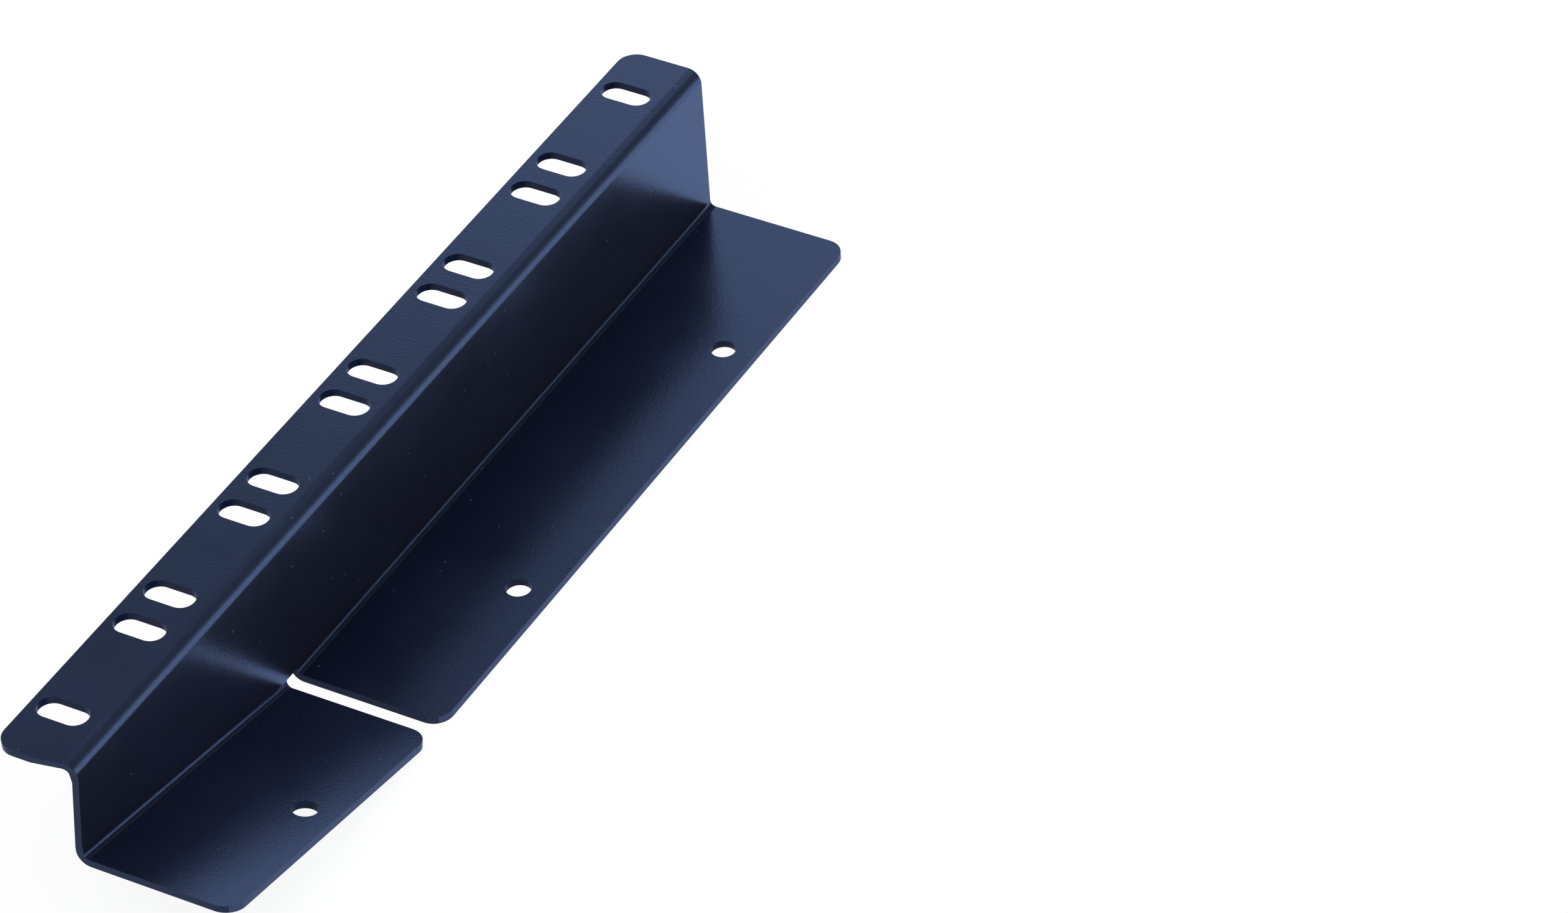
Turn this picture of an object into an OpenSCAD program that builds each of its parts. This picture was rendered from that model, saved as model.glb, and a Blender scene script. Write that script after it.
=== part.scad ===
// Rack mount ear bracket: one sheet of steel folded into a Z, powder coated.
// The slotted rack flange screws to the rack rail, the web sets it off, and the
// wide foot flange takes the equipment. A slit frees the near end of the foot as
// a tab, whose fold slopes up the web to follow a raked case.
// +Y runs along the fold, +X towards the foot's free edge, +Z up from the foot's
// underside. Units are millimetres.

/* [Sheet] */
// Thickness of the sheet
sheet_t = 2; // [1.5:0.1:2.5]
// Inside radius of every fold
fold_r = 1.6; // [0.6:0.1:2]
// Radius of the flanges' free corners
corner_r = 5; // [2:0.5:7]

/* [Rack flange] */
// Height of the equipment in rack units
rack_units = 6; // [6:1:9]
// Distance from the web's outer face to the free edge
rack_flange_w = 21; // [20:0.5:30]
// Length of each slot, across the flange
slot_len = 13.4; // [8:0.2:14]
// Width of each slot
slot_w = 7; // [5:0.1:8]
// Distance from the free edge to the slots' centres
slot_inset = 8.6; // [8:0.1:9]
// Distance from each end of the flange to the nearest slot's centre
end_margin = 15.875; // [12:0.125:20]

/* [Web] */
// Overall height of the Z, from the foot's underside to the rack flange's face
height = 44; // [40:0.5:90]
// Depth of the notch in the near end, deepest on the web just below the upper fold
notch_depth = 2.4; // [1:0.1:5]
// Distance from the web's outer face over which the notch runs out on the rack flange
notch_reach = 9; // [6:0.5:12]

/* [Foot flange] */
// Distance from the web's outer face to the free edge
foot_w = 39.5; // [30:0.5:60]
// Distance from the near end to the slit that ends the foot
slit_pos = 83.6; // [70:0.1:95]
// Width of the slit
slit_w = 4.6; // [1:0.1:8]
// Diameter of the screw holes in the foot and the tab
hole_d = 6.4; // [4:0.1:8]
// Distance from the free edge to the holes' centres
hole_inset = 8.2; // [7:0.1:12]
// Distance between the foot's two holes
foot_hole_pitch = 99.4; // [60:0.2:110]
// Distance from the far end to the nearer of them
foot_hole_end = 49.2; // [15:0.2:55]

/* [Raked tab] */
// Slope of the tab's fold, rising towards the near end
tab_rake = 10.3; // [0:0.1:14]
// Distance along the tab from the slit back to its hole
tab_hole_back = 41.4; // [15:0.2:55]

/* [Hidden] */
$fn = 64;
unit_pitch = 44.45;           // one rack unit
pair_pitch = 31.75;           // the two slots of one unit
slip = 1;                     // how far a cutter runs past what it cuts
fold_out = fold_r + sheet_t;  // outside radius of every fold
slot_span = (rack_units - 1) * unit_pitch + pair_pitch;
length = slot_span + 2 * end_margin;
foot_start = slit_pos + slit_w;
foot_len = length - foot_start;
tab_rise = slit_pos * tan(tab_rake);         // how far the tab's fold climbs to the near end
tab_run = slit_pos / cos(tab_rake) + slip;   // the tab's fold, up to just past the near end
slot_ys = [for (unit = [0 : rack_units - 1], y = [0, pair_pitch]) end_margin + unit * unit_pitch + y];
foot_hole_ys = [for (back = [foot_hole_end + foot_hole_pitch, foot_hole_end]) foot_len - back];

// ---------------------------------------------------------------- profiles

// What is trimmed off a flange's free corner: a square less the corner's round.
module corner_trim() {
    difference() {
        square(corner_r + slip);
        circle(r = corner_r);
    }
}

// An obround hole, centred, with its long way along X.
module slot_hole(len, width) {
    half = (len - width) / 2;
    square([2 * half, width], center = true);
    for (side = [-1, 1]) translate([side * half, 0]) circle(d = width);
}

// The flat of a flange in its own plane, from the fold to the free edge. Its free
// corners are rounded, the near one unless it is cut later.
module flange_blank(run, leg, near_corner) {
    difference() {
        translate([fold_r, 0]) square([leg - fold_r, run]);
        translate([leg - corner_r, run - corner_r]) corner_trim();
        if (near_corner) translate([leg - corner_r, corner_r]) mirror([0, 1]) corner_trim();
    }
}

// Section of a fold: the quarter ring between the flange and the web.
module fold_section() {
    intersection() {
        difference() {
            circle(r = fold_out);
            circle(r = fold_r);
        }
        translate([-fold_out - slip, -fold_out - slip]) square(fold_out + slip);
    }
}

// ---------------------------------------------------------------- folded pieces

// A flange with its fold. The web stands on X from -sheet_t to 0, the flange
// lies on Z from 0 to sheet_t, and leg counts from the web's inner face. The
// children are punched straight through, also where they reach into the fold.
module folded_flange(run, leg, near_corner = true) {
    difference() {
        union() {
            linear_extrude(sheet_t) flange_blank(run, leg, near_corner);
            translate([fold_r, run, fold_out]) rotate([90, 0, 0]) linear_extrude(run) fold_section();
        }
        translate([0, 0, -slip]) linear_extrude(fold_out + 2 * slip) children();
    }
}

// Lays its children along the tab's sloping fold. They start at the slit's root,
// where the fold meets the web, and run towards -Y and up.
module along_rake() {
    translate([0, slit_pos, fold_out]) rotate([-tab_rake, 0, 0]) children();
}

// The web between the folds, less the wedge below the tab's fold.
module web() {
    difference() {
        translate([-sheet_t, 0, fold_out]) cube([sheet_t, length, height - 2 * fold_out]);
        along_rake() translate([-sheet_t - slip, -tab_run - height, -height])
            cube([sheet_t + 2 * slip, tab_run + height + slip, height]);
    }
}

module rack_flange() {
    translate([-sheet_t, 0, height]) rotate([0, 180, 0])
        folded_flange(length, rack_flange_w - sheet_t)
            for (y = slot_ys)
                translate([rack_flange_w - sheet_t - slot_inset, y]) slot_hole(slot_len, slot_w);
}

module foot_flange() {
    translate([0, foot_start, 0])
        folded_flange(foot_len, foot_w)
            for (y = foot_hole_ys) translate([foot_w - hole_inset, y]) circle(d = hole_d);
}

// What squares the tab off flush with the web's near end, and rounds its corner
// there, seen from above.
module near_trim() {
    translate([-fold_out - slip, -height]) square([foot_w + 2 * fold_out, height]);
    translate([foot_w - corner_r, corner_r]) mirror([0, 1]) corner_trim();
}

module raked_tab() {
    difference() {
        along_rake() translate([0, -tab_run, -fold_out])
            folded_flange(tab_run, foot_w, near_corner = false)
                translate([foot_w - hole_inset, tab_run - tab_hole_back]) circle(d = hole_d);
        translate([0, 0, -slip]) linear_extrude(height) near_trim();
    }
}

// The notch in the near end, cut along the mitre of the upper fold. From its
// deepest point it runs out on the rack flange and down the web, to stop just
// above the tab's fold.
module near_notch() {
    deepest = [(fold_out + slip) / sqrt(2), notch_depth];
    on_flange = [-notch_reach / sqrt(2), 0];
    on_web = [(height - sheet_t - fold_out - tab_rise - slip) / sqrt(2), 0];
    past = 1.5;   // both sides run on past the end
    translate([0, 0, height]) rotate([0, 45, 0]) translate([0, 0, -height])
        linear_extrude(2 * height)
            polygon([deepest, deepest + past * (on_flange - deepest), deepest + past * (on_web - deepest)]);
}

// The whole sheet, with its origin under the middle of its overall box.
module ear_bracket() {
    color([0.16, 0.19, 0.27])
    translate([(rack_flange_w - foot_w) / 2, -length / 2, 0]) {
        difference() {
            union() {
                web();
                rack_flange();
            }
            near_notch();
        }
        foot_flange();
        raked_tab();
    }
}

ear_bracket();
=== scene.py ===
import math

import bmesh
import bpy
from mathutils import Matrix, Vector


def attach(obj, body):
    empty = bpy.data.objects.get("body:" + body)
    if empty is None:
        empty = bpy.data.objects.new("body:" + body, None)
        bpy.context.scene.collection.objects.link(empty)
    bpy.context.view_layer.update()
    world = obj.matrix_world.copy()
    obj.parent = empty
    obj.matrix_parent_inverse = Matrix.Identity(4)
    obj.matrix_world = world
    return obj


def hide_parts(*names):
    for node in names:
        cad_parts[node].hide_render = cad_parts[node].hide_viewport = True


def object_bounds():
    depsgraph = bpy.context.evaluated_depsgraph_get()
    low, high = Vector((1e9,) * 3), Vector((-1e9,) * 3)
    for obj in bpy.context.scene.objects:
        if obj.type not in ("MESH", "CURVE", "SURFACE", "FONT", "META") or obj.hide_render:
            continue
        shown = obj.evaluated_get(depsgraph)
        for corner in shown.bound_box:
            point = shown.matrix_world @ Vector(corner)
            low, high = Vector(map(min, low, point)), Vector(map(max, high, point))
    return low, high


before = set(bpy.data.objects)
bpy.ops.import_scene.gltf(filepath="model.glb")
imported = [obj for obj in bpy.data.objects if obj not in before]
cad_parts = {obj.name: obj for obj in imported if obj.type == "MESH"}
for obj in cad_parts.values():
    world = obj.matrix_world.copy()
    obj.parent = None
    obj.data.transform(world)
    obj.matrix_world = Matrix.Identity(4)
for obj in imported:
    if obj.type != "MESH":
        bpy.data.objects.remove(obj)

cad_box = [list(corner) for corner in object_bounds()]

# ------------------------------------------------------------------ the folded bracket
# One length of 2 mm steel sheet, punched and folded into a Z. It is powder coated
# after folding, so the coat runs over every edge and leaves it a little round.
MM = 0.001
WELD = 0.001 * MM            # corners of the solid's triangles nearer than this are one
IN_PLANE = math.radians(1)   # triangles that turn less than this are made one face
SAME = math.radians(2)       # a joint that turns less than this is neither hollow nor crowned
SHARP = math.radians(40)     # edges that turn more were cut; the folds' facets turn less
FACET_WIDTH = 0.6 * MM       # the folds' facets are narrower than this
FOLD_LEVEL = 0.65            # facets whose normals stand up more than this are a fold's low part
SIDEWAYS = 0.7               # cut faces that look across more than this are sides, not ends
SKIN_AREA = 5000 * MM ** 2   # the sheet's two skins are larger than this, cut faces smaller
BORDER = 4 * MM              # cut faces further in than this are holes, slots and the slit
COAT_EDGE = 0.55 * MM        # the round that the coat gives to a punched edge
COAT_EDGE_STEPS = 4

# Painted shade in the coat's colour, from 0 on the skins to 1: in the holes and the slit,
# in the folds' hollows and on the cut faces, most of all on the sheet's ends.
SHADE_IN_HOLE = 1.0
SHADE_IN_FOLD = 0.9
SHADE_ON_END = 0.85
SHADE_ON_EDGE = 0.5
SHADE_ON_SIDE = 0.4

sheet = bmesh.new()
sheet.from_mesh(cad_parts["ear_bracket"].data)
bmesh.ops.remove_doubles(sheet, verts=sheet.verts, dist=WELD)
bmesh.ops.dissolve_limit(sheet, angle_limit=IN_PLANE, verts=sheet.verts,
                         edges=sheet.edges, use_dissolve_boundaries=False)
# Each face's amount of painted shade, which the coat's material reads.
painted_shade = sheet.faces.layers.float.new("painted_shade")
for edge in sheet.edges:
    edge.tag = edge.calc_face_angle() > SHARP
for face in sheet.faces:
    face.tag = False
for start in sheet.faces:    # a flood that stops at the cut edges finds one whole skin or wall
    if start.tag:
        continue
    start.tag = True
    patch = [start]
    for face in patch:
        for edge in face.edges:
            for other in edge.link_faces:
                if not edge.tag and not other.tag:
                    other.tag = True
                    patch.append(other)
    is_cut = sum(face.calc_area() for face in patch) < SKIN_AREA
    for face in patch:
        across, along, _ = face.calc_center_median()
        inland = min(cad_box[1][0] - abs(across), cad_box[1][1] - abs(along))
        length = max(edge.calc_length() for edge in face.edges)
        is_facet = face.calc_area() < FACET_WIDTH * length
        is_hollow = any(edge.calc_face_angle_signed() < -SAME for edge in face.edges)
        # Painted shade goes by where the face lies: in holes, on cut faces and in the folds'
        # hollows.
        if is_cut and inland > BORDER:
            face[painted_shade] = SHADE_IN_HOLE
        elif is_cut:
            face[painted_shade] = SHADE_ON_SIDE if abs(face.normal.x) > SIDEWAYS else SHADE_ON_END
        elif is_facet and is_hollow and abs(face.normal.z) > FOLD_LEVEL:
            face[painted_shade] = SHADE_IN_FOLD
rounds = bmesh.ops.bevel(sheet, geom=[edge for edge in sheet.edges if edge.tag],
                         affect="EDGES", offset=COAT_EDGE, offset_type="OFFSET",
                         segments=COAT_EDGE_STEPS, profile=0.5, material=-1, clamp_overlap=True)
# The rounds along the cut edges get half the painted shade.
for face in rounds["faces"]:
    face[painted_shade] = SHADE_ON_EDGE
for face in sheet.faces:
    face.smooth = True

bracket_mesh = bpy.data.meshes.new("folded_bracket")
sheet.to_mesh(bracket_mesh)
sheet.free()
bracket = bpy.data.objects.new("folded_bracket", bracket_mesh)
bpy.context.scene.collection.objects.link(bracket)
even = bracket.modifiers.new("flats_stay_flat", "WEIGHTED_NORMAL")
even.mode = "FACE_AREA"
even.weight = 100            # the largest face at a corner settles how it is shaded
even.keep_sharp = False


def linear(code):
    """An sRGB hex colour as linear RGBA."""
    channels = [int(code[i:i + 2], 16) / 255 for i in (0, 2, 4)]
    return [c / 12.92 if c <= 0.04045 else ((c + 0.055) / 1.055) ** 2.4 for c in channels] + [1.0]


def put(tree, kind, inputs=(), **settings):
    """Adds a node, sets it up, and links or fills its inputs."""
    node = tree.nodes.new(kind)
    for name, value in settings.items():
        setattr(node, name, value)
    for name, value in dict(inputs).items():
        if isinstance(value, bpy.types.NodeSocket):
            tree.links.new(value, node.inputs[name])
        else:
            node.inputs[name].default_value = value
    return node


# Blue-black powder coat with a fine metallic pigment, sprayed dry and baked to a satin
# skin: a soft dark mirror that stays blue at every angle, a little broken by orange peel
# and by the powder's grit, with a few motes of pale dust on it.
COAT_DARK = linear("46577c")
COAT_LIGHT = linear("4c5d83")
COAT_EDGE_ON = linear("dae5ff")   # tints what the coat mirrors at a glancing angle
COAT_PAINTED_SHADE = linear("20263c")      # painted shade, for holes, folds' hollows and cut faces
COAT_BLOOM = linear("f0e6b0")     # a faint warm haze on the skin
BLOOM = 0.08
BLOOM_SPREAD = 0.5
CLOUD_SIZE = 30 * MM              # width of the film's slow changes of thickness
CLOUD_LOW, CLOUD_HIGH = 0.3, 0.7  # the noise hardly leaves these levels
PEEL_SIZE = 1.4 * MM              # width of one dimple of the orange peel
PEEL_DEPTH = 0.04 * MM
PEEL_STRENGTH = 0.3
GRAIN_SIZE = 0.7 * MM             # grit of the powder, drawn twice as coarse as it is, to show
GRAIN_DEPTH = 0.03 * MM
GRAIN_STRENGTH = 0.6
SATIN, SATIN_DULLER = 0.22, 0.27  # the coat's roughness from cloud to cloud
DULLS_WHERE_SHADED = 0.15                 # how much rougher the coat is where shade is painted
DUST = linear("7b8088")
DUST_DULLS = 0.5
MOTE_SIZE = 0.33 * MM             # width of a mote of dust
MOTE_HAZE = 1.6                   # its soft rim ends at this many of its widths
MOTE_SPACING = 5.5 * MM
MIX_A, MIX_B, MIXED = 6, 7, 2     # the colour sockets of a Mix node

coat = bpy.data.materials.new("satin_powder_coat")
coat.use_nodes = True
tree = coat.node_tree
tree.nodes.clear()
place = put(tree, "ShaderNodeTexCoord").outputs["Object"]
cloud = put(tree, "ShaderNodeTexNoise", {"Vector": place, "Scale": 1 / CLOUD_SIZE, "Detail": 3.0})
# how much shade is painted on each face, read from the mesh
painted_shade_mask = put(tree, "ShaderNodeAttribute", attribute_name="painted_shade").outputs["Fac"]
mote = put(tree, "ShaderNodeTexVoronoi", {"Vector": place, "Scale": 1 / MOTE_SPACING})
mote = put(tree, "ShaderNodeMapRange", {"Value": mote.outputs["Distance"],
                                        "From Min": MOTE_SIZE / 2 / MOTE_SPACING,
                                        "From Max": MOTE_HAZE * MOTE_SIZE / 2 / MOTE_SPACING,
                                        "To Min": 1.0, "To Max": 0.0})

tone = put(tree, "ShaderNodeMix", {"Factor": cloud.outputs["Fac"], MIX_A: COAT_DARK,
                                   MIX_B: COAT_LIGHT}, data_type="RGBA")
# painted shade: darkens the colour in holes, folds' hollows and on cut faces
tone = put(tree, "ShaderNodeMix", {"Factor": painted_shade_mask, MIX_A: tone.outputs[MIXED],
                                   MIX_B: COAT_PAINTED_SHADE}, data_type="RGBA")
tone = put(tree, "ShaderNodeMix", {"Factor": mote.outputs["Result"], MIX_A: tone.outputs[MIXED],
                                   MIX_B: DUST}, data_type="RGBA")

gloss = put(tree, "ShaderNodeMapRange", {"Value": cloud.outputs["Fac"], "From Min": CLOUD_LOW,
                                         "From Max": CLOUD_HIGH, "To Min": SATIN,
                                         "To Max": SATIN_DULLER})
gloss = put(tree, "ShaderNodeMath", {0: painted_shade_mask, 1: DULLS_WHERE_SHADED, 2: gloss.outputs["Result"]},
            operation="MULTIPLY_ADD")
gloss = put(tree, "ShaderNodeMath", {0: mote.outputs["Result"], 1: DUST_DULLS,
                                     2: gloss.outputs[0]}, operation="MULTIPLY_ADD")

peel = put(tree, "ShaderNodeTexNoise", {"Vector": place, "Scale": 1 / PEEL_SIZE, "Detail": 2.0})
grain = put(tree, "ShaderNodeTexNoise", {"Vector": place, "Scale": 1 / GRAIN_SIZE, "Detail": 1.0})
relief = put(tree, "ShaderNodeBump", {"Height": peel.outputs["Fac"], "Strength": PEEL_STRENGTH,
                                      "Distance": PEEL_DEPTH})
relief = put(tree, "ShaderNodeBump", {"Height": grain.outputs["Fac"], "Strength": GRAIN_STRENGTH,
                                      "Distance": GRAIN_DEPTH, "Normal": relief.outputs["Normal"]})

skin = put(tree, "ShaderNodeBsdfPrincipled",
           {"Base Color": tone.outputs[MIXED], "Roughness": gloss.outputs[0], "Metallic": 1.0,
            "Specular Tint": COAT_EDGE_ON, "Sheen Weight": BLOOM, "Sheen Roughness": BLOOM_SPREAD,
            "Sheen Tint": COAT_BLOOM, "Normal": relief.outputs["Normal"]})
put(tree, "ShaderNodeOutputMaterial", {"Surface": skin.outputs["BSDF"]})
bracket_mesh.materials.clear()
bracket_mesh.materials.append(coat)
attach(bracket, "root")
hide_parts("ear_bracket")

# ------------------------------------------------------------------ floor, room and lamps
# A white sweep of photographer's paper under the part, in a grey room that is brightest
# near the floor, with one broad soft lamp overhead and a weak one behind.
FLOOR_REACH = 6.0            # metres from the middle of the paper to its edges
PAPER = linear("f4f4f4")
WHITE = linear("ffffff")
GLOW = 1.08                  # with the share below and the lit paper's own, this comes to white
GLOW_SEEN = 0.85             # the glow's share in what the camera sees; the rest takes shadows
GLOW_MIRRORED = 0.68         # its share in what the coat mirrors
ROOM_LEVELS = ((0.0, 1.3), (0.07, 0.45), (0.16, 0.32), (0.3, 0.23), (0.62, 0.18),
               (0.78, 0.17), (1.0, 0.5))   # from the horizon, 0, to straight up, 1

floor_shape = bmesh.new()
bmesh.ops.create_grid(floor_shape, x_segments=1, y_segments=1, size=FLOOR_REACH)
floor_mesh = bpy.data.meshes.new("paper_floor")
floor_shape.to_mesh(floor_mesh)
floor_shape.free()
floor = bpy.data.objects.new("paper_floor", floor_mesh)
bpy.context.scene.collection.objects.link(floor)

paper = bpy.data.materials.new("white_paper")
paper.use_nodes = True
tree = paper.node_tree
tree.nodes.clear()
ray = put(tree, "ShaderNodeLightPath")
mirrored = put(tree, "ShaderNodeMath", {0: ray.outputs["Is Glossy Ray"],
                                        1: ray.outputs["Is Transmission Ray"]},
               operation="MAXIMUM")
share = put(tree, "ShaderNodeMath", {0: mirrored.outputs[0], 1: GLOW_MIRRORED},
            operation="MULTIPLY")
share = put(tree, "ShaderNodeMath", {0: ray.outputs["Is Camera Ray"], 1: GLOW_SEEN,
                                     2: share.outputs[0]}, operation="MULTIPLY_ADD")
lit_paper = put(tree, "ShaderNodeBsdfDiffuse", {"Color": PAPER})
glow = put(tree, "ShaderNodeEmission", {"Color": WHITE, "Strength": GLOW})
blend = put(tree, "ShaderNodeMixShader", {"Fac": share.outputs[0], 1: lit_paper.outputs[0],
                                          2: glow.outputs[0]})
put(tree, "ShaderNodeOutputMaterial", {"Surface": blend.outputs[0]})
floor_mesh.materials.append(paper)

room = bpy.data.worlds.new("studio")
bpy.context.scene.world = room
room.use_nodes = True
tree = room.node_tree
tree.nodes.clear()
ray = put(tree, "ShaderNodeLightPath")
way = put(tree, "ShaderNodeTexCoord").outputs["Generated"]
height = put(tree, "ShaderNodeSeparateXYZ", {"Vector": way})
levels = put(tree, "ShaderNodeValToRGB", {"Fac": height.outputs["Z"]})
levels.color_ramp.interpolation = "EASE"
stops = levels.color_ramp.elements
for at, level in ROOM_LEVELS:
    stop = stops[0] if at == 0.0 else stops[-1] if at == 1.0 else stops.new(at)
    stop.color = (level, level, level, 1.0)
walls = put(tree, "ShaderNodeBackground", {"Color": levels.outputs["Color"], "Strength": 1.0})
backdrop = put(tree, "ShaderNodeBackground", {"Color": WHITE, "Strength": 1.0})
blend = put(tree, "ShaderNodeMixShader", {"Fac": ray.outputs["Is Camera Ray"],
                                          1: walls.outputs[0], 2: backdrop.outputs[0]})
put(tree, "ShaderNodeOutputWorld", {"Surface": blend.outputs[0]})


def lamp(name, place, aim, width, height, watts):
    """An area lamp at place that faces aim."""
    light = bpy.data.lights.new(name, "AREA")
    light.shape = "RECTANGLE"
    light.size, light.size_y, light.energy = width, height, watts
    thing = bpy.data.objects.new(name, light)
    thing.location = place
    thing.rotation_euler = (Vector(aim) - Vector(place)).to_track_quat("-Z", "Y").to_euler()
    thing.visible_camera = False
    bpy.context.scene.collection.objects.link(thing)


lamp("overhead_softbox", place=(0.2, -0.4, 2.2), aim=(0.2, -0.4, 0), width=2.4, height=2.4, watts=22)
lamp("back_softbox", place=(-0.5, 1.25, 0.75), aim=(-0.5, 0, 0.75), width=1.9, height=0.9, watts=3.2)

# ------------------------------------------------------------------ camera
# A long lens on a stand, well back from the raked tab's end, above the part and to its
# right, and turned a little about its own line of sight.
STAND = Vector((0.7423, -1.0586, 1.0948))
AIM = Vector((0.0544, 0.0659, 0.0))
ROLL = math.radians(-3.94)
LENS = 162.43                # millimetres, with a sensor 36 mm wide
FAR_CLIP = 50.0

camera_data = bpy.data.cameras.new("camera")
camera_data.lens = LENS
camera_data.sensor_width = 36
camera_data.sensor_fit = "HORIZONTAL"
camera_data.clip_end = FAR_CLIP
camera = bpy.data.objects.new("camera", camera_data)
turn = (AIM - STAND).to_track_quat("-Z", "Y").to_matrix().to_4x4()
turn.col[0], turn.col[1] = (turn.col[0] * math.cos(ROLL) + turn.col[1] * math.sin(ROLL),
                            turn.col[1] * math.cos(ROLL) - turn.col[0] * math.sin(ROLL))
turn.translation = STAND
camera.matrix_world = turn
bpy.context.scene.collection.objects.link(camera)
bpy.context.scene.camera = camera
bpy.context.scene.view_settings.view_transform = "Standard"
